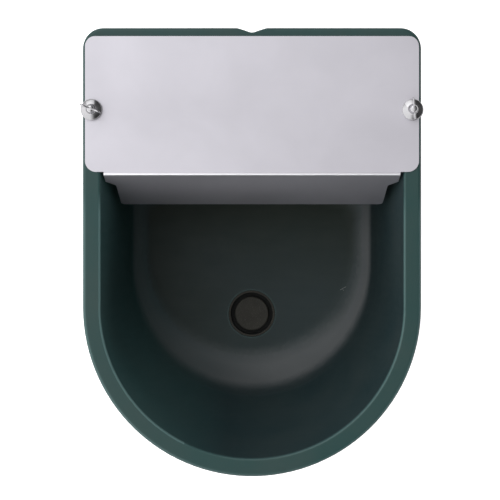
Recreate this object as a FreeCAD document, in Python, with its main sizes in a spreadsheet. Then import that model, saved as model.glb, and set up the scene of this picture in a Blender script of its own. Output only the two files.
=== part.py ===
import FreeCAD, Part

import os
import re
from math import cos, radians, tan

import Sketcher
from FreeCAD import Placement, Rotation, Vector

# Driving dimensions in millimetres and degrees, each written once.
# X runs to the right, Y from the drinking side to the wall, Z up from the ground.
SIZES = {
    # Bowl seen from above
    "bowl_width": 262.8,
    "bowl_depth": 348.4,
    "rim_width": 13.7,
    "rear_corner": 16,
    "wall_corner": 18.5,
    # Bowl seen from the side
    "bowl_height": 172,
    "floor_height": 20,
    "floor_thickness": 5,
    "shelf_height": 66,
    "shelf_depth": 104.2,
    "step_corner": 22,
    "wall": 4.5,
    "back_wall": 6,
    "side_draft": 5.1,
    "side_floor_radius": 20,
    "front_floor_reach": 30.2,
    "floor_straight": 12.9,
    # Turned-down rim
    "rim_thickness": 4,
    "skirt_height": 14,
    "skirt_thickness": 3.5,
    "rim_outer_round": 3,
    "rim_inner_round": 2,
    "ledge_width": 4,
    # Pipe groove in the back and the ridge behind it
    "groove_width": 24,
    "groove_depth": 4.3,
    "groove_round": 7,
    # Wall plate under the shelf
    "plate_inset": 17.2,
    "plate_corner": 16,
    "wall_hole": 9,
    "wall_hole_pitch_x": 140,
    "wall_hole_low": 30,
    "wall_hole_top": 22,
    "gusset_gap": 36,
    "gusset_thickness": 5,
    "gusset_low": 12,
    "gusset_tip": 9,
    # Foot ring and drain
    "foot_thickness": 5,
    "foot_inset": 3,
    "drain_reach": 24.1,
    "drain_boss": 52,
    "drain_boss_low": 2,
    "drain_ledge": 6,
    "drain_outlet": 32,
    "plug_diameter": 41,
    "plug_clearance": 0.3,
    "plug_lip": 0.9,
    "plug_groove": 4.4,
    "plug_groove_depth": 8,
    # Cover plate
    "sheet": 1.2,
    "cover_side_gap": 2.1,
    "cover_back_gap": 6.9,
    "cover_overhang": 5,
    "cover_rear_corner": 7.8,
    "cover_front_corner": 8.5,
    "bend_radius": 2,
    "flap_drop": 64,
    "flap_lean": 17.5,
    "flap_gap": 10.2,
    "flap_corner": 4,
    "shoulder_gap": 2.7,
    "shoulder_drop": 13,
    "shoulder_slant": 8.5,
    # Cover fasteners
    "bolt": 5,
    "bolt_edge": 7.2,
    "bolt_back": 64,
    "bolt_clearance": 0.5,
    "bolt_end": 2,
    "bolt_head_flats": 8,
    "bolt_head_height": 3.5,
    "bolt_boss": 12,
    "bolt_boss_length": 28,
    "washer_diameter": 16.8,
    "washer_thickness": 1.5,
    "nut_height": 6,
    "nut_hub": 9.6,
    "nut_taper": 0.7,
    "wing_span": 17,
    "wing_root": 1,
    "wing_shoulder": 7.2,
    "wing_height": 12,
    "wing_thickness": 2,
    "wing_round": 1.1,
    "left_nut_turn": -22,
    "right_nut_turn": 95,
    "running_clearance": 0.08,
    # Float valve body
    "inlet_edge": 31.7,
    "inlet_back": 62.2,
    "tail_diameter": 20.96,
    "tail_length": 40,
    "tail_bore": 14,
    "water_bore": 11,
    "strainer_length": 17,
    "strainer_wall": 1,
    "seat_clearance": 0.05,
    "shelf_hole_clearance": 0.35,
    "gasket": 2,
    "flange_diameter": 32,
    "flange_thickness": 3,
    "flange_flats": 27,
    "hexagon_height": 10,
    "riser_diameter": 17,
    "head_clearance": 32,
    "head_diameter": 24,
    "head_back": 12,
    "head_reach": 52,
    "piston_diameter": 14,
    "backing_washer": 2,
    "lock_nut_flats": 30,
    "lock_nut_height": 8,
    # Seat, piston and lever
    "seat_reach": 20,
    "nozzle_base": 4,
    "nozzle_length": 12,
    "nozzle_diameter": 8,
    "nozzle_bore": 5,
    "seal_gap": 3,
    "seal_diameter": 11,
    "seal_thickness": 3,
    "seal_proud": 1,
    "piston_length": 30,
    "pivot_reach": 40,
    "pivot_drop": 14,
    "pivot_pin": 4,
    "pin_head": 6.5,
    "pin_head_height": 1.5,
    "pin_tail": 5,
    "split_pin": 1.4,
    "split_pin_leg": 12,
    "cheek": 3.5,
    "cheek_round": 6,
    "cheek_width": 18,
    "lever_thickness": 5,
    "lever_side_gap": 0.3,
    "lever_hub": 12,
    "lever_tip": 5,
    "lever_neck": 3,
    "lever_arm_height": 7,
    "lever_slot_gap": 0.4,
    "socket_start": 20,
    "socket_length": 14,
    "socket_diameter": 10,
    # Spout and silencing tube
    "spout_back": 3,
    "spout_diameter": 10,
    "spout_bore": 7.5,
    "spout_length": 8,
    "tube_wall": 1.45,
    "tube_foot": 21.5,
    "tube_gap": 0.5,
    # Float
    "rod": 6,
    "float_start": 56,
    "float_gap": 19.7,
    "float_floor_gap": 19.5,
    "float_width": 58,
    "float_height": 36,
    "float_corner": 14,
    "float_round": 5,
    "float_boss": 14,
    "float_boss_length": 5,
    "rod_engagement": 30,
    "rod_nut_flats": 10,
    "rod_nut_height": 5,
}

# Sizes that follow from the driving dimensions
DERIVED = {
    "rim_half": "bowl_width / 2",
    "front_edge": "-bowl_depth / 2",
    "back_edge": "bowl_depth / 2",
    "inner_half": "rim_half - rim_width",
    "inner_front": "front_edge + rim_width",
    "inner_back": "back_edge - back_wall",
    "skin_half": "inner_half + wall",
    "skin_front": "inner_front - wall",
    "shelf_front": "inner_back - shelf_depth",
    "side_lean": "side_draft * 1 deg",
    "shelf_taper": "(bowl_height - shelf_height) * tan(side_lean)",
    "floor_nose": "shelf_front + shelf_taper - step_corner - floor_straight - inner_half",
    "front_run": "floor_nose - inner_front - front_floor_reach",
    "front_lean": "atan(front_run / (bowl_height - floor_height))",
    "front_radius": "front_floor_reach / tan(45 deg - front_lean / 2)",
    "under_floor": "floor_height - floor_thickness",
    "under_shelf": "shelf_height - floor_thickness",
    "plate_half": "skin_half - plate_inset",
    "wall_hole_rise": "bowl_height - wall_hole_low - wall_hole_top",
    "drain_y": "floor_nose + drain_reach",
    "bolt_x": "rim_half - bolt_edge",
    "bolt_y": "back_edge - bolt_back",
    "inlet_x": "inlet_edge - inner_half",
    "inlet_y": "back_edge - inlet_back",
    "gusset_x": "-inlet_x - gusset_gap",
    "cover_half": "rim_half - cover_side_gap",
    "cover_front": "shelf_front - cover_overhang",
    "cover_back": "back_edge - cover_back_gap",
    "bend_line": "cover_front + bend_radius + sheet",
    "flap_half": "inner_half - flap_gap",
    "shoulder_half": "inner_half - shoulder_gap",
    "flap_run": "(flap_drop - bend_radius * (1 - sin(flap_lean))) / cos(flap_lean)",
    "boss_low": "bowl_height - bolt_boss_length",
    "head_recess": "bolt_head_height + 0.3",
    "cover_top": "bowl_height + sheet",
    "washer_top": "cover_top + washer_thickness",
    "plug_hole": "plug_diameter + 2 * plug_clearance",
    "plug_seat": "drain_boss_low + drain_ledge",
    "plug_height": "floor_height - plug_seat",
    "piston_bore": "piston_diameter + 2 * running_clearance",
    "head_height": "bowl_height - shelf_height - head_clearance",
    "pivot_height": "head_height - pivot_drop",
    "fork_gap": "lever_thickness + 2 * lever_side_gap",
    "fork_width": "fork_gap + 2 * cheek",
    "float_length": "2 * inner_half - inlet_edge - pivot_reach - float_start - float_gap",
    "float_fall": "pivot_height - float_floor_gap - float_height / 2",
    "lever_drop": "asin(float_fall / (float_start + float_length))",
    "slot_shift": "pivot_drop * sin(lever_drop)",
    "outlet_reach": "seat_reach - spout_back",
    "head_low": "head_height - head_diameter / 2",
    "tube_length": "head_low - tube_foot - tube_gap",
    "shelf_hole": "tail_diameter + 2 * shelf_hole_clearance",
}

SECTION_COUNT = 6
BODIES = []

doc = FreeCAD.newDocument("AnimalDrinker")
sheet = doc.addObject("Spreadsheet::Sheet", "Sizes")
for row, (alias, size) in enumerate(SIZES.items(), 1):
    sheet.set(f"A{row}", alias.replace("_", " "))
    sheet.set(f"B{row}", str(size))
    sheet.setAlias(f"B{row}", alias)
doc.recompute()


def bound(text):
    """Turn size names into references to the sheet, with derived sizes written out."""

    def resolve(match):
        word = match[0]
        if word in DERIVED:
            return f"({bound(DERIVED[word])})"
        return f"Sizes.{word}" if word in SIZES else word

    return re.sub(r"[a-z_]+[a-z0-9_]*", resolve, str(text))


def number(text):
    """The present value of an expression, for starting positions in a sketch."""
    result = sheet.evalExpression(bound(text))
    return float(getattr(result, "Value", result))


# Helpers for bodies and sketches
def new_body(label, x="0", y="0", z="0", turn_axis=(0, 0, 1), turn=None):
    body = doc.addObject("PartDesign::Body", label)
    body.Label = label
    if turn is not None:
        body.Placement = Placement(Vector(), Rotation(Vector(*turn_axis), number(turn)))
        body.setExpression(".Placement.Rotation.Angle", bound(turn))
    for axis, place in zip("xyz", (x, y, z)):
        body.setExpression(f".Placement.Base.{axis}", bound(place))
    BODIES.append(body)
    return body


def new_sketch(body, name, role="XY_Plane", offset="0"):
    sketch = body.newObject("Sketcher::SketchObject", f"{body.Label}_{name}")
    plane = next(f for f in body.Origin.OriginFeatures if f.Role == role)
    sketch.AttachmentSupport = [(plane, "")]
    sketch.MapMode = "FlatFace"
    sketch.setExpression(".AttachmentOffset.Base.z", bound(offset))
    return sketch


def dimension(sketch, kind, *where, size):
    """Add one dimension and bind it to an expression."""
    index = sketch.addConstraint(Sketcher.Constraint(kind, *where, number(size)))
    sketch.setExpression(f"Constraints[{index}]", bound(size))


def pin_point(sketch, geometry, vertex, x, y):
    dimension(sketch, "DistanceX", geometry, vertex, size=x)
    dimension(sketch, "DistanceY", geometry, vertex, size=y)


def add_circle(sketch, radius, x="0", y="0"):
    centre = Vector(number(x), number(y), 0)
    circle = sketch.addGeometry(Part.Circle(centre, Vector(0, 0, 1), number(radius)))
    pin_point(sketch, circle, 3, x, y)
    dimension(sketch, "Radius", circle, size=radius)


def add_outline(sketch, *corners):
    """Closed outline through corners (x, y) or (x, y, radius of its rounding)."""
    spots = [Vector(number(corner[0]), number(corner[1]), 0) for corner in corners]
    count = len(corners)
    arrive = list(spots)
    leave = list(spots)
    middle = {}
    for i, corner in enumerate(corners):
        if len(corner) == 3:
            back = (spots[i - 1] - spots[i]).normalize()
            ahead = (spots[(i + 1) % count] - spots[i]).normalize()
            half_angle = back.getAngle(ahead) / 2
            radius = number(corner[2])
            arrive[i] = spots[i] + back * (radius / tan(half_angle))
            leave[i] = spots[i] + ahead * (radius / tan(half_angle))
            inward = (back + ahead).normalize()
            chord = (arrive[i] - spots[i]).Length / cos(half_angle)
            middle[i] = spots[i] + inward * (chord - radius)
    lines = [
        sketch.addGeometry(Part.LineSegment(leave[i], arrive[(i + 1) % count])) for i in range(count)
    ]
    for i, corner in enumerate(corners):
        before, after = lines[i - 1], lines[i]
        if i not in middle:
            sketch.addConstraint(Sketcher.Constraint("Coincident", before, 2, after, 1))
            pin_point(sketch, after, 1, corner[0], corner[1])
            continue
        arc = sketch.addGeometry(Part.Arc(arrive[i], middle[i], leave[i]))
        first_is_start = sketch.getPoint(arc, 1).distanceToPoint(arrive[i]) < 1e-6
        into, out = (1, 2) if first_is_start else (2, 1)
        sketch.addConstraint(Sketcher.Constraint("Tangent", before, 2, arc, into))
        sketch.addConstraint(Sketcher.Constraint("Tangent", arc, out, after, 1))
        dimension(sketch, "Radius", arc, size=corner[2])
        apex = sketch.addGeometry(Part.Point(spots[i]), True)
        sketch.addConstraint(Sketcher.Constraint("PointOnObject", apex, 1, before))
        sketch.addConstraint(Sketcher.Constraint("PointOnObject", apex, 1, after))
        pin_point(sketch, apex, 1, corner[0], corner[1])


def add_box(sketch, x_low, x_high, y_low, y_high):
    add_outline(sketch, (x_low, y_low), (x_high, y_low), (x_high, y_high), (x_low, y_high))


def add_hexagon(sketch, flats, x="0", y="0"):
    corners = []
    for step in range(6):
        reach = f"{flats} / sqrt(3)"
        corners.append((f"{x} + {reach} * cos({60 * step})", f"{y} + {reach} * sin({60 * step})"))
    add_outline(sketch, *corners)


def add_bowl_section(sketch, half, front, back, corner):
    """Half-round front, straight sides and a flat back with rounded corners."""
    half_now, back_now, corner_now = number(half), number(back), number(corner)
    centre_now = number(front) + half_now
    inset_now = half_now - corner_now
    up = Vector(0, 0, 1)

    def arc(x, y, radius, start, end):
        circle = Part.Circle(Vector(x, y, 0), up, radius)
        return sketch.addGeometry(Part.ArcOfCircle(circle, radians(start), radians(end)))

    def line(x_start, y_start, x_end, y_end):
        start, end = Vector(x_start, y_start, 0), Vector(x_end, y_end, 0)
        return sketch.addGeometry(Part.LineSegment(start, end))

    nose = arc(0, centre_now, half_now, 180, 360)
    right = line(half_now, centre_now, half_now, back_now - corner_now)
    right_corner = arc(inset_now, back_now - corner_now, corner_now, 0, 90)
    rear = line(inset_now, back_now, -inset_now, back_now)
    left_corner = arc(-inset_now, back_now - corner_now, corner_now, 90, 180)
    left = line(-half_now, back_now - corner_now, -half_now, centre_now)
    loop = [nose, right, right_corner, rear, left_corner, left]
    for here, following in zip(loop, loop[1:] + loop[:1]):
        sketch.addConstraint(Sketcher.Constraint("Tangent", here, 2, following, 1))
    sketch.addConstraint(Sketcher.Constraint("Vertical", right))
    sketch.addConstraint(Sketcher.Constraint("Vertical", left))
    sketch.addConstraint(Sketcher.Constraint("Horizontal", rear))
    dimension(sketch, "Radius", nose, size=half)
    dimension(sketch, "Radius", right_corner, size=corner)
    dimension(sketch, "Radius", left_corner, size=corner)
    pin_point(sketch, nose, 3, "0", f"{front} + {half}")
    dimension(sketch, "DistanceY", rear, 1, size=back)


# Helpers for features
def extrude(sketch, length, cut=False, both_ways=False, reverse=False):
    body = sketch.getParentGeoFeatureGroup()
    kind = "PartDesign::Pocket" if cut else "PartDesign::Pad"
    before = body.Shape.Volume if cut else 0
    feature = body.newObject(kind, f"{sketch.Name}_{'cut' if cut else 'pad'}")
    feature.Profile = sketch
    feature.SideType = "Symmetric" if both_ways else "One side"
    feature.Reversed = reverse
    feature.setExpression("Length", bound(length))
    doc.recompute()
    if cut and not body.Shape.Volume < before:
        raise ValueError(f"{feature.Name} removes nothing")
    return feature


def revolve(sketch, axis="V_Axis"):
    body = sketch.getParentGeoFeatureGroup()
    feature = body.newObject("PartDesign::Revolution", f"{sketch.Name}_turned")
    feature.Profile = sketch
    feature.ReferenceAxis = (sketch, [axis])
    feature.Angle = 360
    doc.recompute()
    return feature


def loft(sketches, cut=False, ruled=False):
    body = sketches[0].getParentGeoFeatureGroup()
    kind = "PartDesign::SubtractiveLoft" if cut else "PartDesign::AdditiveLoft"
    feature = body.newObject(kind, f"{sketches[0].Name}_loft")
    feature.Profile = sketches[0]
    feature.Sections = sketches[1:]
    feature.Ruled = ruled
    doc.recompute()
    return feature


def fillet(body, radius, edges):
    """Round the given edges of the body as it stands."""
    base = body.Tip
    names = [
        f"Edge{index}"
        for index, edge in enumerate(base.Shape.Edges, 1)
        if any(edge.isSame(wanted) for wanted in edges)
    ]
    feature = body.newObject("PartDesign::Fillet", f"{body.Label}_round{len(body.Group)}")
    feature.Base = (base, names)
    feature.setExpression("Radius", bound(radius))
    doc.recompute()
    return feature


def edges_at_height(body, height):
    level = number(height)
    return [
        edge
        for edge in body.Tip.Shape.Edges
        if abs(edge.BoundBox.ZMin - level) < 1e-4 and abs(edge.BoundBox.ZMax - level) < 1e-4
    ]


# Moulded bowl: rim, skin, step and cavity follow one another down from the rim
def inset(level, draft, radius, bottom):
    """How far a wall has moved inwards at a level, floor rounding included."""
    rise = f"({level} - {bottom})"
    drafted = f"(bowl_height - {level}) * tan({draft})"
    foot = f"(bowl_height - {bottom}) * tan({draft}) + {radius} * tan(45 deg - {draft} / 2)"
    rounded = f"{foot} - sqrt(abs(2 * {radius} * {rise} - {rise} ^ 2))"
    return f"({rise} < {radius} * (1 - sin({draft})) ? {rounded} : {drafted})"


def basin_sections(body, name, half, front, shelf, extra, top, bottom):
    """Sections of the basin below the shelf, closer together towards the floor."""
    side_radius = f"(side_floor_radius + {extra})"
    nose_radius = f"(front_radius + {extra})"
    sections = []
    for step in range(SECTION_COUNT, -1, -1):
        share = 1 - cos(radians(90 * step / SECTION_COUNT))
        level = f"({bottom} + ({top} - {bottom}) * {share:.6f})"
        side = inset(level, "side_lean", side_radius, bottom)
        ahead = inset(level, "front_lean", nose_radius, bottom)
        sketch = new_sketch(body, f"{name}{step}", offset=level)
        rear = f"{shelf} - ({side} - (bowl_height - {top}) * tan(side_lean))"
        add_bowl_section(sketch, f"({half} - {side})", f"({front} + {ahead})", rear, "step_corner")
        sections.append(sketch)
    return sections


def upper_sections(body, name, half, front, back, corner, low):
    """Section at the rim and section at the shelf."""
    sketches = []
    for level in ("bowl_height", low):
        depth = f"(bowl_height - {level})"
        sketch = new_sketch(body, f"{name}_{level}", offset=level)
        add_bowl_section(
            sketch,
            f"({half} - {depth} * tan(side_lean))",
            f"({front} + {depth} * tan(front_lean))",
            back,
            corner,
        )
        sketches.append(sketch)
    return sketches


def make_bowl():
    body = new_body("bowl_body")

    # Flat rim with its turned-down skirt
    rim = new_sketch(body, "rim", offset="bowl_height - rim_thickness")
    add_bowl_section(rim, "rim_half", "front_edge", "back_edge", "rear_corner")
    extrude(rim, "rim_thickness")
    skirt = new_sketch(body, "skirt", offset="bowl_height - skirt_height")
    add_bowl_section(skirt, "rim_half", "front_edge", "back_edge", "rear_corner")
    add_bowl_section(
        skirt,
        "(rim_half - skirt_thickness)",
        "(front_edge + skirt_thickness)",
        "back_edge - skirt_thickness",
        "(rear_corner - skirt_thickness)",
    )
    extrude(skirt, "skirt_height - rim_thickness")

    # Outer skin down to the shelf, then the deep basin in front of it
    loft(
        upper_sections(
            body, "skin", "skin_half", "skin_front", "back_edge", "wall_corner", "under_shelf"
        ),
        ruled=True,
    )
    loft(
        basin_sections(
            body,
            "outer",
            "skin_half",
            "skin_front",
            "(shelf_front + wall)",
            "wall",
            "under_shelf",
            "under_floor",
        )
    )

    # Wall plate, gussets and foot carry the bowl below the shelf
    plate = new_sketch(body, "plate", "XZ_Plane", "-back_edge")
    add_outline(
        plate,
        ("-plate_half", "0", "plate_corner"),
        ("plate_half", "0", "plate_corner"),
        ("plate_half", "under_shelf + floor_thickness / 2"),
        ("-plate_half", "under_shelf + floor_thickness / 2"),
    )
    extrude(plate, "back_wall")
    for side, sign in (("left", "-"), ("right", "")):
        gusset = new_sketch(body, f"gusset_{side}", "YZ_Plane", f"{sign}gusset_x")
        add_outline(
            gusset,
            ("inner_back + back_wall / 2", "gusset_low"),
            ("inner_back + back_wall / 2", "under_shelf + 1"),
            ("shelf_front + wall / 2", "under_shelf + 1"),
            ("shelf_front + wall / 2", "under_shelf - gusset_tip"),
            ("shelf_front + wall + gusset_tip", "under_shelf - gusset_tip"),
        )
        extrude(gusset, "gusset_thickness", both_ways=True)
    make_foot_and_drain(body)

    # Cavity, from the rim to the shelf and on to the basin floor
    loft(
        upper_sections(
            body,
            "cavity",
            "inner_half",
            "inner_front",
            "inner_back",
            "(wall_corner - wall)",
            "shelf_height",
        ),
        cut=True,
        ruled=True,
    )
    loft(
        basin_sections(
            body, "inner", "inner_half", "inner_front", "shelf_front", "0", "shelf_height", "floor_height"
        ),
        cut=True,
    )

    # Rounded rim edges, before anything interrupts them
    top = max(
        (face for face in body.Tip.Shape.Faces if face.BoundBox.ZMin > number("bowl_height") - 1e-4),
        key=lambda face: face.Area,
    )
    outer_edges = top.OuterWire.Edges
    fillet(body, "rim_outer_round", outer_edges)
    # The narrowest rim edge left at rim level is the mouth of the cavity
    mouth = [
        edge
        for edge in edges_at_height(body, "bowl_height")
        if edge.BoundBox.YMin > number("inner_front") - 1e-3
        and edge.BoundBox.XMax < number("inner_half") + 1e-3
        and edge.BoundBox.XMin > -number("inner_half") - 1e-3
        and edge.BoundBox.YMax < number("inner_back") + 1e-3
    ]
    fillet(body, "rim_inner_round", mouth)

    # Ledge along the back of the mouth, which the cover rests on
    ledge = new_sketch(body, "ledge", offset="bowl_height - 2 * rim_thickness")
    half = "(inner_half + wall / 2)"
    add_box(ledge, f"-{half}", half, "inner_back - ledge_width", "inner_back + back_wall / 2")
    extrude(ledge, "2 * rim_thickness")

    make_pipe_groove(body)
    make_bolt_bosses(body)
    make_bowl_holes(body)


def make_foot_and_drain(body):
    """D-shaped foot ring and the stepped drain boss under the floor."""
    side = inset("under_floor", "side_lean", "(side_floor_radius + wall)", "under_floor")
    front = inset("under_floor", "front_lean", "(front_radius + wall)", "under_floor")
    foot = new_sketch(body, "foot")
    for thickness in ("0", "foot_thickness"):
        edge = f"(foot_inset + {thickness})"
        add_bowl_section(
            foot,
            f"(skin_half - {side} - {edge})",
            f"(skin_front + {front} + {edge})",
            f"shelf_front + wall - {side} + (bowl_height - under_shelf) * tan(side_lean) - {edge}",
            f"(step_corner - {thickness})",
        )
    extrude(foot, "under_floor + floor_thickness / 2")
    boss = new_sketch(body, "drain_boss", offset="drain_boss_low")
    add_circle(boss, "drain_boss / 2", y="drain_y")
    extrude(boss, "under_floor + floor_thickness / 2 - drain_boss_low")


def make_pipe_groove(body):
    """Shallow groove down the middle of the back, with a ridge behind it."""
    shapes = (
        ("ridge", "inner_back", "(groove_width / 2 + wall)"),
        ("groove", "back_edge", "(groove_width / 2)"),
    )
    for name, face, half in shapes:
        sketch = new_sketch(body, name)
        add_outline(
            sketch,
            (half, face),
            (half, f"{face} + groove_depth"),
            (f"-{half}", f"{face} + groove_depth"),
            (f"-{half}", face),
            ("0", f"{face} - groove_depth", "groove_round"),
        )
        extrude(sketch, "bowl_height", cut=name == "groove", reverse=name == "groove")


def make_bolt_bosses(body):
    bosses = new_sketch(body, "bolt_bosses", offset="boss_low")
    for sign in ("-", ""):
        add_circle(bosses, "bolt_boss / 2", f"{sign}bolt_x", "bolt_y")
    extrude(bosses, "bolt_boss_length - rim_thickness / 2")
    recess = new_sketch(body, "bolt_recess", offset="boss_low")
    for sign in ("-", ""):
        add_hexagon(recess, "(bolt_head_flats + bolt_clearance)", f"{sign}bolt_x", "bolt_y")
    extrude(recess, "head_recess", cut=True, reverse=True)
    shanks = new_sketch(body, "bolt_holes", offset="boss_low")
    for sign in ("-", ""):
        add_circle(shanks, "(bolt + bolt_clearance) / 2", f"{sign}bolt_x", "bolt_y")
    extrude(shanks, "bolt_boss_length", cut=True, reverse=True)


def make_bowl_holes(body):
    bolts = new_sketch(body, "wall_holes", "XZ_Plane", "-back_edge")
    for sign in ("-", ""):
        for level in ("wall_hole_low", "wall_hole_low + wall_hole_rise"):
            add_circle(bolts, "wall_hole / 2", f"{sign}wall_hole_pitch_x / 2", level)
    extrude(bolts, "back_wall", cut=True, reverse=True)
    inlet = new_sketch(body, "inlet_hole", offset="under_shelf")
    add_circle(inlet, "shelf_hole / 2", "inlet_x", "inlet_y")
    extrude(inlet, "floor_thickness", cut=True, reverse=True)
    plug = new_sketch(body, "plug_hole", offset="plug_seat")
    add_circle(plug, "plug_hole / 2", y="drain_y")
    extrude(plug, "plug_height", cut=True, reverse=True)
    outlet = new_sketch(body, "drain_outlet", offset="drain_boss_low")
    add_circle(outlet, "drain_outlet / 2", y="drain_y")
    extrude(outlet, "drain_ledge", cut=True, reverse=True)


# Folded stainless cover over the valve
def make_cover():
    body = new_body("valve_cover", z="bowl_height")
    plate = new_sketch(body, "plate")
    add_outline(
        plate,
        ("-cover_half", "bend_line", "cover_front_corner"),
        ("cover_half", "bend_line", "cover_front_corner"),
        ("cover_half", "cover_back", "cover_rear_corner"),
        ("-cover_half", "cover_back", "cover_rear_corner"),
    )
    extrude(plate, "sheet")

    # Side view of the fold: plate edge, bend and flap
    strip = new_sketch(body, "strip", "YZ_Plane")
    add_strip(strip)
    extrude(strip, "2 * shoulder_half", both_ways=True)

    # Flap narrows below its slanted shoulders
    sides = new_sketch(body, "sides", "XZ_Plane", "-bend_line - sheet")
    for sign in ("-", ""):
        add_outline(
            sides,
            (f"{sign}flap_half", "-flap_drop - sheet"),
            (f"{sign}flap_half", "-shoulder_drop - shoulder_slant"),
            (f"{sign}shoulder_half", "-shoulder_drop"),
            (f"{sign}(shoulder_half + sheet)", "-shoulder_drop"),
            (f"{sign}(shoulder_half + sheet)", "-flap_drop - sheet"),
        )
    extrude(sides, "flap_drop", cut=True, reverse=True)
    lowest = body.Tip.Shape.BoundBox.ZMin
    corners = [
        edge
        for edge in body.Tip.Shape.Edges
        if edge.BoundBox.XLength < 1e-4
        and edge.BoundBox.ZMax < lowest + 2 * number("sheet")
        and edge.Length < 2 * number("sheet")
    ]
    fillet(body, "flap_corner", corners)
    holes = new_sketch(body, "holes")
    for sign in ("-", ""):
        add_circle(holes, "bolt / 2 + bolt_clearance", f"{sign}bolt_x", "bolt_y")
    extrude(holes, "sheet", cut=True, reverse=True)


def add_strip(sketch):
    """Sheet strip: flat behind the bend line, then bent down and leaning to the front."""
    centre_y, centre_z = "bend_line", "(-bend_radius)"
    radii = ("bend_radius", "(bend_radius + sheet)")
    bends = [(f"{centre_y} - {r} * cos(flap_lean)", f"{centre_z} + {r} * sin(flap_lean)") for r in radii]
    ends = [
        (f"{y} - flap_run * sin(flap_lean)", f"{z} - flap_run * cos(flap_lean)") for y, z in bends
    ]
    flat = "(bend_line + sheet)"
    path = [
        (flat, "0"),
        (flat, "sheet"),
        (centre_y, "sheet"),
        bends[1],
        ends[1],
        ends[0],
        bends[0],
        (centre_y, "0"),
    ]
    spots = [Vector(number(y), number(z), 0) for y, z in path]
    arcs = {2: radii[1], 6: radii[0]}
    pieces = []
    for i, spot in enumerate(spots):
        following = spots[(i + 1) % len(spots)]
        if i in arcs:
            centre = Vector(number(centre_y), number(centre_z), 0)
            toward = ((spot + following) * 0.5 - centre).normalize()
            shape = Part.Arc(spot, centre + toward * number(arcs[i]), following)
        else:
            shape = Part.LineSegment(spot, following)
        pieces.append(sketch.addGeometry(shape))
    for i, (y, z) in enumerate(path):
        before, here = pieces[i - 1], pieces[i]
        start = near_end(sketch, here, spots[i])
        finish = near_end(sketch, before, spots[i])
        sketch.addConstraint(Sketcher.Constraint("Coincident", before, finish, here, start))
        pin_point(sketch, here, start, y, z)
    for i, radius in arcs.items():
        dimension(sketch, "Radius", pieces[i], size=radius)


def near_end(sketch, geometry, spot):
    """Which end of a piece of a sketch lies at a spot."""
    return 1 if sketch.getPoint(geometry, 1).distanceToPoint(spot) < 1e-6 else 2


# Cover fasteners, one set on each side
def make_fasteners(side, x, turn):
    bolt = new_body(f"cover_bolt_{side}", x, "bolt_y", "boss_low + head_recess - bolt_head_height")
    head = new_sketch(bolt, "head")
    add_hexagon(head, "bolt_head_flats")
    extrude(head, "bolt_head_height")
    shank = new_sketch(bolt, "shank")
    add_circle(shank, "bolt / 2")
    extrude(shank, "washer_top + nut_height + bolt_end - boss_low - head_recess + bolt_head_height")

    washer = new_body(f"washer_{side}", x, "bolt_y", "cover_top")
    disc = new_sketch(washer, "disc")
    add_circle(disc, "washer_diameter / 2")
    add_circle(disc, "bolt / 2 + running_clearance")
    extrude(disc, "washer_thickness")

    nut = new_body(f"wing_nut_{side}", x, "bolt_y", "washer_top", turn=turn)
    hub = new_sketch(nut, "hub", "XZ_Plane")
    bore = "bolt / 2 + running_clearance"
    add_outline(
        hub,
        (bore, "0"),
        ("nut_hub / 2", "0"),
        ("nut_hub / 2 - nut_taper", "nut_height"),
        (bore, "nut_height"),
    )
    revolve(hub)
    wings = new_sketch(nut, "wings", "XZ_Plane")
    for sign in ("-", ""):
        add_outline(
            wings,
            (f"{sign}(nut_hub / 2 - nut_taper * 2)", "wing_root"),
            (f"{sign}(nut_hub / 2 + nut_taper)", "wing_root", "nut_taper"),
            (f"{sign}wing_span / 2", "wing_shoulder", "wing_round"),
            (f"{sign}wing_span / 2", "wing_height", "wing_round"),
            (f"{sign}(nut_hub / 2 + nut_taper)", "wing_height", "wing_round"),
            (f"{sign}(nut_hub / 2 - nut_taper * 2)", "nut_height - nut_taper"),
        )
    extrude(wings, "wing_thickness", both_ways=True)


# Rubber drain plug with a grip groove in its top
def make_drain_plug():
    body = new_body("drain_plug", y="drain_y", z="plug_seat")
    profile = new_sketch(body, "profile", "XZ_Plane")
    lip = "plug_diameter / 2 - plug_lip"
    disc = f"{lip} - plug_groove"
    add_outline(
        profile,
        ("0", "0"),
        ("plug_diameter / 2 - plug_lip", "0"),
        ("plug_diameter / 2", "plug_lip"),
        ("plug_diameter / 2", "plug_height"),
        (lip, "plug_height"),
        (lip, "plug_height - plug_groove_depth"),
        (disc, "plug_height - plug_groove_depth"),
        (disc, "plug_height", "plug_lip"),
        ("0", "plug_height"),
    )
    revolve(profile)


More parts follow.
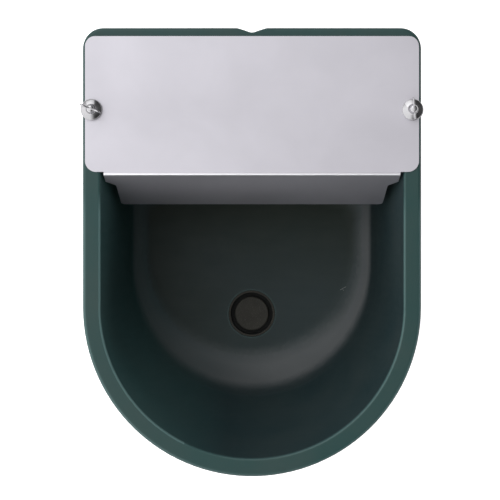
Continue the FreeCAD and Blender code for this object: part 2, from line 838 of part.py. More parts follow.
# Brass float valve: tail through the shelf, riser, horizontal head and fork
def make_valve_body():
    body = new_body("valve_body", "inlet_x", "inlet_y", "shelf_height")
    profile = new_sketch(body, "profile", "XZ_Plane")
    collar = "gasket + flange_thickness"
    add_outline(
        profile,
        ("tail_bore / 2", "-tail_length"),
        ("tail_diameter / 2", "-tail_length"),
        ("tail_diameter / 2", "gasket"),
        ("flange_diameter / 2", "gasket"),
        ("flange_diameter / 2", collar),
        ("riser_diameter / 2", collar),
        ("riser_diameter / 2", "head_height"),
        ("water_bore / 2", "head_height"),
        ("water_bore / 2", "strainer_length - tail_length"),
        ("tail_bore / 2", "strainer_length - tail_length"),
    )
    revolve(profile)
    hexagon = new_sketch(body, "hexagon", offset=collar)
    add_hexagon(hexagon, "flange_flats")
    add_circle(hexagon, "(water_bore + riser_diameter) / 4")
    extrude(hexagon, "hexagon_height")

    # Head lies along X over the riser, with the lever fork below it
    head = new_sketch(body, "head", "YZ_Plane", "-head_back")
    add_circle(head, "head_diameter / 2", y="head_height")
    extrude(head, "head_back + head_reach")
    fork = new_sketch(body, "fork", "XZ_Plane")
    add_outline(
        fork,
        ("pivot_reach - cheek_width / 2", "head_height"),
        ("pivot_reach - cheek_round", "pivot_height - cheek_round", "cheek_round"),
        ("pivot_reach + cheek_round", "pivot_height - cheek_round", "cheek_round"),
        ("pivot_reach + cheek_width / 2", "head_height"),
    )
    extrude(fork, "fork_width", both_ways=True)
    spout = new_sketch(body, "spout", offset="head_low - spout_length")
    add_circle(spout, "spout_diameter / 2", "outlet_reach")
    extrude(spout, "spout_length + head_diameter / 4")

    # Water way, piston bore, outlet, lever slot and pivot hole
    bore = new_sketch(body, "bore", "YZ_Plane", "seat_reach - nozzle_length")
    add_circle(bore, "piston_bore / 2", y="head_height")
    extrude(bore, "head_reach", cut=True, reverse=True)
    link = new_sketch(body, "link", "YZ_Plane")
    add_circle(link, "nozzle_diameter / 2", y="head_height")
    extrude(link, "seat_reach", cut=True, reverse=True)
    way = new_sketch(body, "way", offset="-tail_length")
    add_circle(way, "water_bore / 2")
    extrude(way, "tail_length + head_height", cut=True, reverse=True)
    outlet = new_sketch(body, "outlet", offset="head_low - spout_length")
    add_circle(outlet, "spout_bore / 2", "outlet_reach")
    extrude(outlet, "spout_length + head_diameter / 2", cut=True, reverse=True)
    slot = new_sketch(body, "slot", "XZ_Plane")
    add_box(
        slot,
        "pivot_reach - lever_hub",
        "head_reach + 1",
        "pivot_height - 2 * cheek_round",
        "head_height - piston_diameter / 4",
    )
    extrude(slot, "fork_gap", cut=True, both_ways=True)
    pivot = new_sketch(body, "pivot", "XZ_Plane")
    add_circle(pivot, "pivot_pin / 2 + seat_clearance", "pivot_reach", "pivot_height")
    extrude(pivot, "fork_width", cut=True, both_ways=True)


def make_ring(label, outer, inner, height, z):
    """Flat ring on the axis of the inlet."""
    body = new_body(label, "inlet_x", "inlet_y", z)
    sketch = new_sketch(body, "ring")
    add_circle(sketch, f"({outer}) / 2")
    add_circle(sketch, f"({inner}) / 2")
    extrude(sketch, height)


def make_inlet_fittings():
    make_ring("inlet_gasket", "flange_diameter", "shelf_hole", "gasket", "shelf_height")
    washer_low = "(under_shelf - backing_washer)"
    make_ring("backing_washer", "lock_nut_flats + 4", "shelf_hole", "backing_washer", washer_low)
    nut = new_body("lock_nut", "inlet_x", "inlet_y", f"{washer_low} - lock_nut_height")
    sketch = new_sketch(nut, "hexagon")
    add_hexagon(sketch, "lock_nut_flats")
    add_circle(sketch, "tail_diameter / 2 + seat_clearance")
    extrude(sketch, "lock_nut_height")

    # Thimble strainer pushed into the tail
    strainer = new_body("inlet_strainer", "inlet_x", "inlet_y", "shelf_height - tail_length")
    profile = new_sketch(strainer, "profile", "XZ_Plane")
    outer = "tail_bore / 2 - seat_clearance"
    inner = f"{outer} - strainer_wall"
    add_outline(
        profile,
        (inner, "0"),
        (outer, "0"),
        (outer, "strainer_length"),
        ("0", "strainer_length"),
        ("0", "strainer_length - strainer_wall"),
        (inner, "strainer_length - strainer_wall"),
    )
    revolve(profile)


def make_seat_nozzle():
    body = new_body(
        "seat_nozzle", "inlet_x + seat_reach - nozzle_length", "inlet_y", "shelf_height + head_height"
    )
    profile = new_sketch(body, "profile", "XZ_Plane")
    add_outline(
        profile,
        ("0", "nozzle_bore / 2"),
        ("nozzle_length", "nozzle_bore / 2"),
        ("nozzle_length", "nozzle_bore / 2 + 0.8"),
        ("nozzle_length - 1", "nozzle_diameter / 2"),
        ("nozzle_base", "nozzle_diameter / 2"),
        ("nozzle_base", "piston_bore / 2 - seat_clearance"),
        ("0", "piston_bore / 2 - seat_clearance"),
    )
    revolve(profile, "H_Axis")


def make_plunger():
    """Piston with a slot for the lever tip, and the rubber seal in its face."""
    start = "inlet_x + seat_reach + seal_gap"
    body = new_body("plunger", f"{start} + seal_proud", "inlet_y", "shelf_height + head_height")
    profile = new_sketch(body, "profile", "XZ_Plane")
    recess = "seal_thickness - seal_proud"
    chamfer = "(piston_diameter - seal_diameter) / 4"
    add_outline(
        profile,
        (recess, "0"),
        (recess, "seal_diameter / 2"),
        ("0", "seal_diameter / 2"),
        ("0", f"piston_diameter / 2 - {chamfer}"),
        (chamfer, "piston_diameter / 2"),
        ("piston_length", "piston_diameter / 2"),
        ("piston_length", "0"),
    )
    revolve(profile, "H_Axis")
    slot = new_sketch(body, "slot", "XZ_Plane")
    centre = "pivot_reach + slot_shift - seat_reach - seal_gap - seal_proud"
    half = "(lever_tip / 2 + lever_slot_gap)"
    add_box(
        slot,
        f"{centre} - {half}",
        f"{centre} + {half}",
        "-piston_diameter",
        "lever_tip / 2 + 2 * lever_slot_gap",
    )
    extrude(slot, "fork_gap", cut=True, both_ways=True)

    seal = new_body("plunger_seal", start, "inlet_y", "shelf_height + head_height")
    disc = new_sketch(seal, "disc", "YZ_Plane")
    add_circle(disc, "seal_diameter / 2 - seat_clearance")
    extrude(disc, "seal_thickness")


# Everything on the lever is drawn along its rod and turned down about the pivot
PIVOT = ("inlet_x + pivot_reach", "inlet_y", "shelf_height + pivot_height")


def new_lever_body(label):
    return new_body(label, *PIVOT, turn_axis=(0, 1, 0), turn="lever_drop")


def make_float_lever():
    body = new_lever_body("float_lever")
    arm = new_sketch(body, "arm", "XZ_Plane")
    half = "lever_arm_height / 2"
    add_box(arm, "0", "socket_start + 1", f"-{half}", half)
    extrude(arm, "lever_thickness", both_ways=True)
    neck = new_sketch(body, "neck", "XZ_Plane")
    add_box(neck, "-lever_neck / 2", "lever_neck / 2", "0", "pivot_drop")
    extrude(neck, "lever_thickness", both_ways=True)
    for name, diameter, z in (("hub", "lever_hub", "0"), ("tip", "lever_tip", "pivot_drop")):
        round_part = new_sketch(body, name, "XZ_Plane")
        add_circle(round_part, f"{diameter} / 2", y=z)
        extrude(round_part, "lever_thickness", both_ways=True)
    socket = new_sketch(body, "socket", "YZ_Plane", "socket_start")
    add_circle(socket, "socket_diameter / 2")
    extrude(socket, "socket_length")
    rod_hole = new_sketch(body, "rod_hole", "YZ_Plane", "socket_start + 3")
    add_circle(rod_hole, "rod / 2 + seat_clearance")
    extrude(rod_hole, "socket_length", cut=True, reverse=True)
    pivot = new_sketch(body, "pivot", "XZ_Plane")
    add_circle(pivot, "pivot_pin / 2 + running_clearance")
    extrude(pivot, "lever_thickness", cut=True, both_ways=True)


def make_pivot_pins():
    pin = new_body("pivot_pin", *PIVOT)
    shank = new_sketch(pin, "shank", "XZ_Plane", "-fork_width / 2 - pin_tail")
    add_circle(shank, "pivot_pin / 2")
    extrude(shank, "fork_width + pin_tail")
    head = new_sketch(pin, "head", "XZ_Plane", "fork_width / 2")
    add_circle(head, "pin_head / 2")
    extrude(head, "pin_head_height")
    cross = new_sketch(pin, "cross_hole", "YZ_Plane", "-pivot_pin")
    add_circle(cross, "split_pin / 2", "fork_width / 2 + pin_tail / 2")
    extrude(cross, "2 * pivot_pin", cut=True, reverse=True)

    # Split pin: a leg through the cross hole and an eye at its end
    x, y, z = PIVOT
    clip = new_body("split_pin", x, f"{y} + fork_width / 2 + pin_tail / 2", z)
    leg = new_sketch(clip, "leg", "YZ_Plane", "-split_pin_leg / 2")
    add_circle(leg, "split_pin / 2 - seat_clearance")
    extrude(leg, "split_pin_leg")
    eye = new_sketch(clip, "eye")
    for radius in ("1.5 * split_pin", "split_pin / 2"):
        add_circle(eye, radius, "split_pin_leg / 2 + split_pin")
    extrude(eye, "split_pin", both_ways=True)


def make_float():
    rod_start = "socket_start + 3"
    rod = new_lever_body("float_rod")
    bar = new_sketch(rod, "bar", "YZ_Plane", rod_start)
    add_circle(bar, "rod / 2")
    extrude(bar, f"float_start + rod_engagement - float_boss_length - ({rod_start})")

    body = new_lever_body("float")
    box = new_sketch(body, "box", offset="-float_height / 2")
    near, far, side = "float_start", "(float_start + float_length)", "float_width / 2"
    add_outline(
        box,
        (near, f"-{side}", "float_corner"),
        (far, f"-{side}", "float_corner"),
        (far, side, "float_corner"),
        (near, side, "float_corner"),
    )
    extrude(box, "float_height")
    fillet(body, "float_round", flat_edges(body, "float_height / 2"))
    boss = new_sketch(body, "boss", "YZ_Plane", "float_start - float_boss_length")
    add_circle(boss, "float_boss / 2")
    extrude(boss, "float_boss_length + float_round")
    hole = new_sketch(body, "rod_hole", "YZ_Plane", "float_start - float_boss_length")
    add_circle(hole, "rod / 2 + seat_clearance")
    extrude(hole, "rod_engagement", cut=True, reverse=True)

    nut = new_lever_body("float_nut")
    sketch = new_sketch(nut, "hexagon", "YZ_Plane", "float_start - float_boss_length - rod_nut_height")
    add_hexagon(sketch, "rod_nut_flats")
    add_circle(sketch, "rod / 2 + seat_clearance")
    extrude(sketch, "rod_nut_height")


def flat_edges(body, height):
    """Edges that lie at a height above or below the body's own middle."""
    level = number(height)
    return [
        edge
        for edge in body.Tip.Shape.Edges
        if all(abs(abs(vertex.Point.z) - level) < 1e-4 for vertex in edge.Vertexes)
    ]


def make_outlet_tube():
    body = new_body("outlet_tube", "inlet_x + outlet_reach", "inlet_y", "shelf_height + tube_foot")
    sketch = new_sketch(body, "ring")
    add_circle(sketch, "spout_diameter / 2 + seat_clearance + tube_wall")
    add_circle(sketch, "spout_diameter / 2 + seat_clearance")
    extrude(sketch, "tube_length")


def write_parts():
    """Check every object of the document, then write one file for each piece."""
    doc.recompute()
    for item in doc.Objects:
        if "Invalid" in item.State or "Error" in item.State:
            raise ValueError(f"{item.Label} failed: {item.State}")
    for body in BODIES:
        shape = body.Shape
        if shape.isNull() or not shape.isValid() or not shape.Solids:
            raise ValueError(f"{body.Label} has no valid solid")
    os.makedirs("parts", exist_ok=True)
    for body in BODIES:
        body.Shape.exportStep(f"parts/{body.Label}.step")
        print(f"{body.Label}: {len(body.Shape.Solids)} solid, {body.Shape.Volume / 1000:.2f} cm3")


make_bowl()
make_cover()
make_fasteners("left", "-bolt_x", "left_nut_turn")
make_fasteners("right", "bolt_x", "right_nut_turn")
make_drain_plug()
make_valve_body()
make_inlet_fittings()
make_seat_nozzle()
make_plunger()
make_float_lever()
make_pivot_pins()
make_float()
make_outlet_tube()
write_parts()
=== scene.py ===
from math import cos, radians, sin, tau

import bmesh
import bpy
from bpy.props import FloatProperty, FloatVectorProperty, PointerProperty
from bpy.types import Operator, Panel, PropertyGroup
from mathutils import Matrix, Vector


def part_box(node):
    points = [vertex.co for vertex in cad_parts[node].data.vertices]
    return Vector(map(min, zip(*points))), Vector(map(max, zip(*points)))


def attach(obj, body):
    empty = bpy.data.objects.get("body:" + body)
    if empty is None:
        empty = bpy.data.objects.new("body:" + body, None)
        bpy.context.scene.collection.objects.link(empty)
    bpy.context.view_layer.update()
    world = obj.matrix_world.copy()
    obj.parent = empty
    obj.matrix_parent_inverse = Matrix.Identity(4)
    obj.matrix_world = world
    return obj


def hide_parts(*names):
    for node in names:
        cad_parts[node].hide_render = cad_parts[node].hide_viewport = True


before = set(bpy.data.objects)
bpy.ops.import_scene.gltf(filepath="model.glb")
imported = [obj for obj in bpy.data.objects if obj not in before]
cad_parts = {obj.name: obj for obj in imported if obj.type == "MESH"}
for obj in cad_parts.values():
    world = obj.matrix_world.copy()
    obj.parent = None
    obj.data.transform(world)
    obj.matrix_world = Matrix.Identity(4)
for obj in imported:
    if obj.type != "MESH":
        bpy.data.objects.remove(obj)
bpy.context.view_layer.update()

bl_info = {
    "name": "Animal drinker",
    "version": (1, 0, 0),
    "blender": (4, 5, 0),
    "location": "3D View > Sidebar > Drinker",
    "description": "Looks, detail pieces and studio for a float valve animal drinker",
    "category": "Object",
}


def colour(label, text, value):
    return FloatVectorProperty(
        name=label, description=text, subtype="COLOR", size=3, min=0, max=1, default=value
    )


def length(label, text, value):
    return FloatProperty(
        name=label, description=text, subtype="DISTANCE", unit="LENGTH", default=value
    )


def share(label, text, value):
    return FloatProperty(
        name=label, description=text, subtype="FACTOR", min=0, max=1, default=value
    )


def angle(label, text, value):
    return FloatProperty(
        name=label, description=text, subtype="ANGLE", unit="ROTATION", default=value
    )


def strength(label, text, value):
    return FloatProperty(name=label, description=text, min=0, default=value)


class DrinkerBowlLook(PropertyGroup):
    base: colour("Plastic", "Dark green plastic of the bowl", (0.0064, 0.0465, 0.0440))
    dust: colour("Dust", "Pale dust that settles on level faces", (0.060, 0.064, 0.056))
    roughness: share("Roughness", "How matt the moulded plastic is", 0.40)
    shine: share("Shine", "Strength of the plastic's mirror gloss", 0.40)
    grain: length("Grain", "Width of one pebble of the moulded grain", 0.0011)
    grain_depth: length("Grain depth", "Height of the moulded grain", 0.00003)

    # Inside the basin
    # Painted shade: a darker, bluer copy of the plastic inside the basin
    basin_shade: colour("Damp plastic", "Darker plastic where water stands", (0.0106, 0.0280, 0.0318))
    basin_dull: share("Basin dull", "How much rougher the plastic is inside the basin", 0.20)
    basin_low: length("Basin low", "Height above which a face counts as inside", 0.0185)
    basin_back: length("Basin back", "Place behind which any height counts as inside", 0.045)
    # Painted light: a paler, greener tone on the basin's left wall
    left_wall_light: colour("Dried film", "Dried film on the basin's left wall", (0.0330, 0.0900, 0.0900))
    # Painted shade: a darker tone on the basin floor towards the back, under the cover, and to the
    # left
    floor_shade: colour("Algae", "Dark green film on the floor at the back", (0.0045, 0.0145, 0.0080))
    # Painted highlight: a pale grey belt on the floor's rounding, up to a given height
    scale: colour("Scale", "Grey scale on the rounding of the floor", (0.150, 0.158, 0.162))
    fillet_highlight_top: length("Scale top", "Height above which there is no scale", 0.065)

    # Painted highlights on the edges and the rim, and the scratch
    edge_highlight: colour("Wear", "Paler green of the rubbed edges", (0.105, 0.190, 0.188))
    edge_highlight_width: length("Wear width", "How far from an edge the wear reaches", 0.0028)
    edge_highlight_share: share("Edge wear", "Strength of the wear on all edges", 0.38)
    rim_highlight: share("Rim wear", "Strength of the wear on the rim's round edges", 0.42)
    left_rim_highlight: share("Left wear", "Extra wear on the rim's left inner edge", 0.9)
    rim_band: length("Rim band", "How far below its top the rim is rubbed", 0.0022)
    scratch: colour("Scratch", "Scraped plastic of the scratch", (0.34, 0.36, 0.35))
    scratch_x: length("Scratch X", "Place of the scratch on the floor, to the right", 0.0815)
    scratch_y: length("Scratch Y", "Place of the scratch on the floor, to the back", -0.0325)
    scratch_width: length("Scratch width", "Half the width of one stroke", 0.00026)


class DrinkerMetalLook(PropertyGroup):
    sheet: colour("Sheet", "Rolled stainless sheet of the cover", (0.60, 0.585, 0.635))
    sheet_roughness: share("Sheet roughness", "How matt the rolled sheet is", 0.44)
    # Painted highlight along the sheet's bends
    bend: colour("Bend", "Sheet polished by the folding tool", (0.90, 0.89, 0.93))
    cloud: length("Cloud", "Width of the soft clouds in the rolled finish", 0.05)
    bright: colour("Bright steel", "Polished steel of the fasteners", (0.46, 0.455, 0.47))
    brass: colour("Brass", "Cast and turned brass of the valve", (0.56, 0.38, 0.15))
    # Painted shade in the roots of the threads
    thread_root_shade: colour("Dirt", "Dirt between the threads", (0.05, 0.04, 0.03))

    # Wing nuts
    flange_radius: length("Flange radius", "Radius of the wing nuts' round flange", 0.0081)
    flange_edge: length("Flange edge", "Rounding of the flange's edge", 0.0007)
    boss_radius: length("Boss radius", "Radius of the boss in the middle", 0.0033)
    nut_bore: length("Nut bore", "Radius of the blind bore for the bolt", 0.0026)
    wing_span: length("Wing span", "Width of a wing nut over its wings", 0.0168)
    wing_thickness: length("Wing thickness", "Thickness of the wings", 0.0013)
    left_turn: angle("Left turn", "How far the left wing nut is turned", radians(-22))
    right_turn: angle("Right turn", "How far the right wing nut is turned", radians(95))

    # Threads
    bolt_pitch: length("Bolt pitch", "Rise of the bolts' thread in one turn", 0.0008)
    bolt_radius: length("Bolt radius", "Outer radius of the bolts' thread", 0.0025)
    bolt_head: length("Bolt head", "Height of the bolts' heads with the plain neck", 0.004)
    inlet_pitch: length("Inlet pitch", "Rise of the inlet's thread in one turn", 0.001814)
    inlet_radius: length("Inlet radius", "Outer radius of the inlet's thread", 0.01048)
    inlet_tooth: length("Inlet tooth", "Size of the inlet's thread ridge", 0.00075)
    inlet_sunk: length("Inlet sunk", "How deep the ridge sits in the shank", 0.00035)


class DrinkerSoftLook(PropertyGroup):
    plug: colour("Plug", "Worn brown grey rubber of the drain plug", (0.023, 0.022, 0.017))
    seal: colour("Seal", "Black rubber of the seals", (0.012, 0.012, 0.013))
    fibre: colour("Fibre", "Pressed red fibre washer", (0.30, 0.07, 0.04))
    float_shell: colour("Float", "Blow moulded plastic of the float", (0.50, 0.085, 0.012))
    tube: colour("Tube", "Plastic of the tube and the strainer", (0.70, 0.70, 0.66))
    chalk: colour("Chalk", "Pale chalking of old rubber and plastic", (0.30, 0.29, 0.26))
    # Painted shade in the plug's grip groove
    groove_shade: colour("Groove dirt", "Black dirt in the plug's groove", (0.002, 0.003, 0.0025))
    plug_lip: length("Plug lip", "Width of the thin lip round the plug", 0.0017)
    plug_groove: length("Plug groove", "Width of the grip groove in the plug", 0.0038)
    plug_depth: length("Plug depth", "Depth of the grip groove in the plug", 0.008)
    plug_round: length("Plug round", "Rounding of the plug's grip disc", 0.0012)
    plug_foot: length("Plug foot", "Height of the slant round the plug's foot", 0.0009)


class DrinkerStageLook(PropertyGroup):
    eye_x: length("Eye X", "Place of the camera, to the right", -0.00155)
    eye_y: length("Eye Y", "Place of the camera, to the back", 0.0017)
    eye_height: length("Eye height", "Height of the camera over the rim", 1.0)
    lens: FloatProperty(name="Lens", description="Focal length in millimetres", default=92.9)
    floor_half: length("Floor half", "Half the width of the floor", 3.0)
    floor_grey: share("Floor grey", "Brightness of the floor's own paint", 0.9)
    floor_glow: share("Floor glow", "Light that the floor adds for the camera", 0.75)
    sky: strength("Sky", "Strength of the whole room", 1.03)
    left_glow: strength("Left glow", "Strength of the roof's left part", 1.60)
    right_dim: share("Right dim", "Strength of the roof's right part", 0.38)
    back_glow: share("Back glow", "How much brighter the roof is at the back", 0.25)
    back_dip: share("Back dip", "How much dimmer the room is low down at the back", 0.60)
    low_dim: share("Low dim", "Strength near the floor against the upper part", 0.45)
    gap: share("Gap", "How dark the right side is between roof and horizon", 0.72)
    walls: share("Walls", "Extra strength all round near the floor", 0.1)
    right_edge: strength("Right edge", "Extra strength of the right horizon", 1.2)
    front_edge: strength("Front edge", "Extra strength over the front horizon", 1.5)
    lamp: strength("Lamp", "Power of the soft lamp at the back", 6.5)
    lamp_size: length("Lamp size", "Width and height of the soft lamp", 1.7)
    lamp_x: length("Lamp X", "Place of the lamp, to the right", -0.45)
    lamp_y: length("Lamp Y", "Place of the lamp, to the back", 1.55)
    lamp_height: length("Lamp height", "Height of the lamp", 1.55)
    lamp_aim: length("Lamp aim", "Height that the lamp points at", 0.1)


# Shader helpers
class NodeBuilder:
    """Adds nodes to one tree and links them by socket name."""

    def __init__(self, tree):
        self.tree = tree

    def add(self, kind, settings=None, **inputs):
        node = self.tree.nodes.new(kind)
        for name, value in (settings or {}).items():
            setattr(node, name, value)
        for name, value in inputs.items():
            self.put(node, name.replace("_", " "), value)
        return node

    def put(self, node, name, value):
        socket = node.inputs[name]
        if isinstance(value, bpy.types.NodeSocket):
            self.tree.links.new(value, socket)
        else:
            socket.default_value = value

    def math(self, operation, first, second=0.0, third=0.0):
        node = self.add("ShaderNodeMath", {"operation": operation})
        for index, value in enumerate((first, second, third)):
            self.put(node, index, value)
        return node.outputs[0]

    def times(self, first, *others):
        for other in others:
            first = self.math("MULTIPLY", first, other)
        return first

    def fade(self, value, start, end, low=0.0, high=1.0):
        """Low at the start, high at the end, held beyond both."""
        node = self.add(
            "ShaderNodeMapRange", Value=value, From_Min=start, From_Max=end, To_Min=low, To_Max=high
        )
        return node.outputs["Result"]

    def ramp(self, value, *stops):
        """Grey levels at places from 0 to 1, straight between them."""
        node = self.add("ShaderNodeValToRGB", Fac=value)
        points = node.color_ramp.elements
        while len(points) < len(stops):
            points.new(1.0)
        for point, (place, level) in zip(points, stops):
            point.position = place
            point.color = (level, level, level, 1)
        return node.outputs["Color"]

    def mix(self, share_of_second, first, second):
        node = self.add("ShaderNodeMix", {"data_type": "RGBA"}, Factor=share_of_second)
        for index, value in ((6, first), (7, second)):
            self.put(node, index, value if isinstance(value, bpy.types.NodeSocket) else (*value, 1))
        return node.outputs[2]

    def noise(self, place, scale, detail=3.0, roughness=0.5, distortion=0.0):
        node = self.add(
            "ShaderNodeTexNoise",
            Vector=place, Scale=scale, Detail=detail, Roughness=roughness, Distortion=distortion,
        )
        return node.outputs["Fac"]

    def stretched(self, place, x, y, z):
        return self.add("ShaderNodeMapping", Vector=place, Scale=(x, y, z)).outputs["Vector"]

    def bump(self, height, distance, normal=None, strength=1.0):
        node = self.add("ShaderNodeBump", Height=height, Distance=distance, Strength=strength)
        if normal is not None:
            self.put(node, "Normal", normal)
        return node.outputs["Normal"]

    def parts(self, vector):
        """The x, y and z of a vector."""
        return self.add("ShaderNodeSeparateXYZ", Vector=vector).outputs[:]

    def facing(self):
        """The x, y and z of the direction that the surface faces."""
        return self.parts(self.add("ShaderNodeNewGeometry").outputs["Normal"])


def new_material(name):
    """A node material with its builder, its surface shader and object coordinates."""
    material = bpy.data.materials.new(name)
    material.use_nodes = True
    build = NodeBuilder(material.node_tree)
    surface = material.node_tree.nodes["Principled BSDF"]
    place = build.add("ShaderNodeTexCoord").outputs["Object"]
    return material, build, surface, place


def edge_wear_and_highlight(build, width, low, high):
    """Share from 0 to 1 that grows where an edge is sharp."""
    rounded = build.add("ShaderNodeBevel", {"samples": 4}, Radius=width)
    plain = build.add("ShaderNodeNewGeometry")
    likeness = build.add("ShaderNodeVectorMath", {"operation": "DOT_PRODUCT"})
    build.put(likeness, 0, rounded.outputs["Normal"])
    build.put(likeness, 1, plain.outputs["Normal"])
    return build.ramp(likeness.outputs["Value"], (low, 1.0), (high, 0.0))


# Materials
def make_bowl_plastic(look):
    """Dark moulded plastic, dusty, with painted shade and painted light in the basin, a painted
    highlight belt on the floor's rounding and painted highlights on the rim.
    """
    material, build, surface, place = new_material("bowl_plastic")
    level = build.ramp(build.facing()[2], (0.80, 0.0), (0.99, 1.0))
    cloud = build.noise(place, 18.0, 4.0, 0.55)
    speck = build.noise(place, 900.0, 2.0, 0.6)
    dusty = build.times(build.ramp(cloud, (0.35, 0.0), (0.75, 0.10)), level)
    specks = build.times(build.ramp(speck, (0.66, 0.0), (0.74, 0.30)), level)
    dust = build.math("MAXIMUM", dusty, specks)
    in_basin = basin_mask(build, place, look)

    # Painted shade and painted light in the basin, clouds of dust, painted highlight belt on the
    # fillet
    basin_shade_tone = build.mix(left_wall_light_mask(build, place), look.basin_shade, look.left_wall_light)
    basin_shade_tone = build.mix(floor_shade_mask(build, place), basin_shade_tone, look.floor_shade)
    tone = build.mix(in_basin, look.base, basin_shade_tone)
    tone = build.mix(build.times(build.ramp(cloud, (0.3, 0.0), (0.7, 1.0)), 0.16), tone, look.dust)
    # Painted highlight belt on the floor's rounding, stronger on the right
    tone = build.mix(build.times(fillet_highlight_mask(build, place, look, cloud), in_basin), tone, look.scale)

    # Dust, painted highlights on the edges and the rim, and the scratch on top
    sharp = build.times(edge_wear_and_highlight(build, look.edge_highlight_width, 0.80, 0.99), look.edge_highlight_share)
    wear_and_highlight = build.math("MAXIMUM", sharp, rim_highlight_mask(build, place, look))
    tone = build.mix(dust, tone, look.dust)
    # Painted highlight on the edges and the rim, mostly left out under and behind the cover
    tone = build.mix(build.times(wear_and_highlight, in_front_of_cover(build, place)), tone, look.edge_highlight)
    tone = build.mix(scratch_mask(build, place, look), tone, look.scratch)
    build.put(surface, "Base Color", tone)
    build.put(surface, "Specular IOR Level", look.shine)

    # Pebbled mould grain over fine unevenness
    pebbles = build.add(
        "ShaderNodeTexVoronoi", {"feature": "SMOOTH_F1"},
        Vector=place, Scale=1 / look.grain, Smoothness=0.6,
    )
    grained = build.bump(pebbles.outputs["Distance"], look.grain_depth)
    ripple = build.noise(place, 60.0, 2.0)
    build.put(surface, "Normal", build.bump(ripple, 0.00035, grained, 0.35))
    streaks = build.noise(build.stretched(place, 40.0, 160.0, 40.0), 1.0, 3.0)
    patches = build.math("ADD", cloud, streaks)
    uneven = build.math("MULTIPLY_ADD", patches, 0.14, look.roughness - 0.14)
    uneven = build.math("MULTIPLY_ADD", in_basin, look.basin_dull, uneven)
    build.put(surface, "Roughness", build.math("MULTIPLY_ADD", dust, 0.5, uneven))
    return material


def basin_mask(build, place, look):
    """One on faces that look up or inwards, below the rim and above the floor's underside."""
    low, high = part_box("bowl_body")
    x, y, z = build.parts(place)
    face_x, face_y, face_z = build.facing()
    arc_centre = low.y + (high.x - low.x) / 2
    front = build.math("MINIMUM", build.math("SUBTRACT", y, arc_centre), 0.0)
    outward = build.math("MULTIPLY_ADD", front, face_y, build.times(x, face_x))
    inward = build.math("LESS_THAN", outward, -0.004)
    upward = build.math("GREATER_THAN", face_z, 0.3)
    forward = build.times(
        build.math("LESS_THAN", face_y, -0.5), build.math("GREATER_THAN", y, 0.0)
    )
    shown = build.math("MAXIMUM", build.math("MAXIMUM", inward, upward), forward)
    under_rim = build.math("LESS_THAN", z, high.z - 0.0012)
    over_floor = build.math("GREATER_THAN", z, look.basin_low)
    behind = build.math("GREATER_THAN", y, look.basin_back)
    return build.times(shown, under_rim, build.math("MAXIMUM", over_floor, behind))


def left_wall_light_mask(build, place):
    """Share from 0 to 1 of painted light on the upright left wall of the basin."""
    upright = build.ramp(build.facing()[2], (0.20, 1.0), (0.90, 0.3), (0.97, 0.0))
    return build.times(upright, build.fade(build.parts(place)[0], -0.02, -0.09))


def floor_shade_mask(build, place):
    """Share from 0 to 1 of painted shade on level faces of the basin, growing to the back and to
    the left.
    """
    level = build.ramp(build.facing()[2], (0.90, 0.0), (0.99, 1.0))
    x, y, _ = build.parts(place)
    back = build.fade(y, -0.040, 0.045)
    left = build.fade(x, 0.02, -0.09, 0.0, 0.7)
    return build.times(level, build.math("MAXIMUM", back, left))


def fillet_highlight_mask(build, place, look, cloud):
    """Painted highlight: a soft belt on the floor's rounding, thinner on the left and broader in
    front.
    """
    x, y, z = build.parts(place)
    slope = build.facing()[2]
    side_belt = build.ramp(
        slope, (0.18, 0.0), (0.36, 0.55), (0.55, 1.0), (0.78, 0.75), (0.90, 0.30), (0.985, 0.0)
    )
    front_belt = build.ramp(
        slope, (0.22, 0.0), (0.36, 0.60), (0.55, 1.0), (0.86, 0.85), (0.95, 0.55), (0.995, 0.0)
    )
    belt = build.mix(build.fade(y, -0.05, -0.09), side_belt, front_belt)
    patchy = build.ramp(cloud, (0.25, 0.8), (0.7, 1.0))
    left_to_right = build.fade(x, -0.09, 0.02, 0.42, 0.88)
    low_down = build.fade(z, look.fillet_highlight_top * 0.6, look.fillet_highlight_top, 1.0, 0.0)
    return build.times(belt, patchy, low_down, left_to_right)


def rim_highlight_mask(build, place, look):
    """Painted highlight on the rim's round edges, more on the left inner one and less in front."""
    low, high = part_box("bowl_body")
    x, y, z = build.parts(place)
    face_x, _, face_z = build.facing()
    on_rim = build.math("GREATER_THAN", z, high.z - look.rim_band)
    rounded = build.ramp(face_z, (0.10, 0.0), (0.40, 0.8), (0.90, 1.0), (0.999, 0.0))
    left = build.math("LESS_THAN", x, low.x * 0.4)
    left_inner = build.times(left, build.math("GREATER_THAN", face_x, 0.1))
    weight = build.math("MULTIPLY_ADD", left_inner, look.left_rim_highlight, look.rim_highlight)
    return build.times(rounded, on_rim, weight, build.fade(y, low.y, low.y + 0.07, 0.45, 1.0))


def in_front_of_cover(build, place):
    """One in front of the cover, falling to a small share under and behind it."""
    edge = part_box("valve_cover")[0].y
    return build.fade(build.parts(place)[1], edge - 0.012, edge + 0.008, 1.0, 0.10)


def scratch_mask(build, place, look):
    """Two short pale strokes where something scraped the basin floor."""
    x, y, z = build.parts(place)
    across = build.math("SUBTRACT", x, look.scratch_x)
    along = build.math("SUBTRACT", y, look.scratch_y)
    strokes = []
    for lean, reach, side in ((0.55, 0.0026, 0.0), (-1.3, 0.0008, -0.0012)):
        off = build.math("SUBTRACT", along, build.times(across, lean))
        away = build.math("ABSOLUTE", build.math("SUBTRACT", off, side))
        near = build.math("LESS_THAN", away, look.scratch_width)
        inside = build.math("LESS_THAN", build.math("ABSOLUTE", across), reach)
        strokes.append(build.times(near, inside))
    on_floor = build.math("LESS_THAN", z, 0.03)
    return build.times(build.math("MAXIMUM", *strokes), on_floor, 0.4)


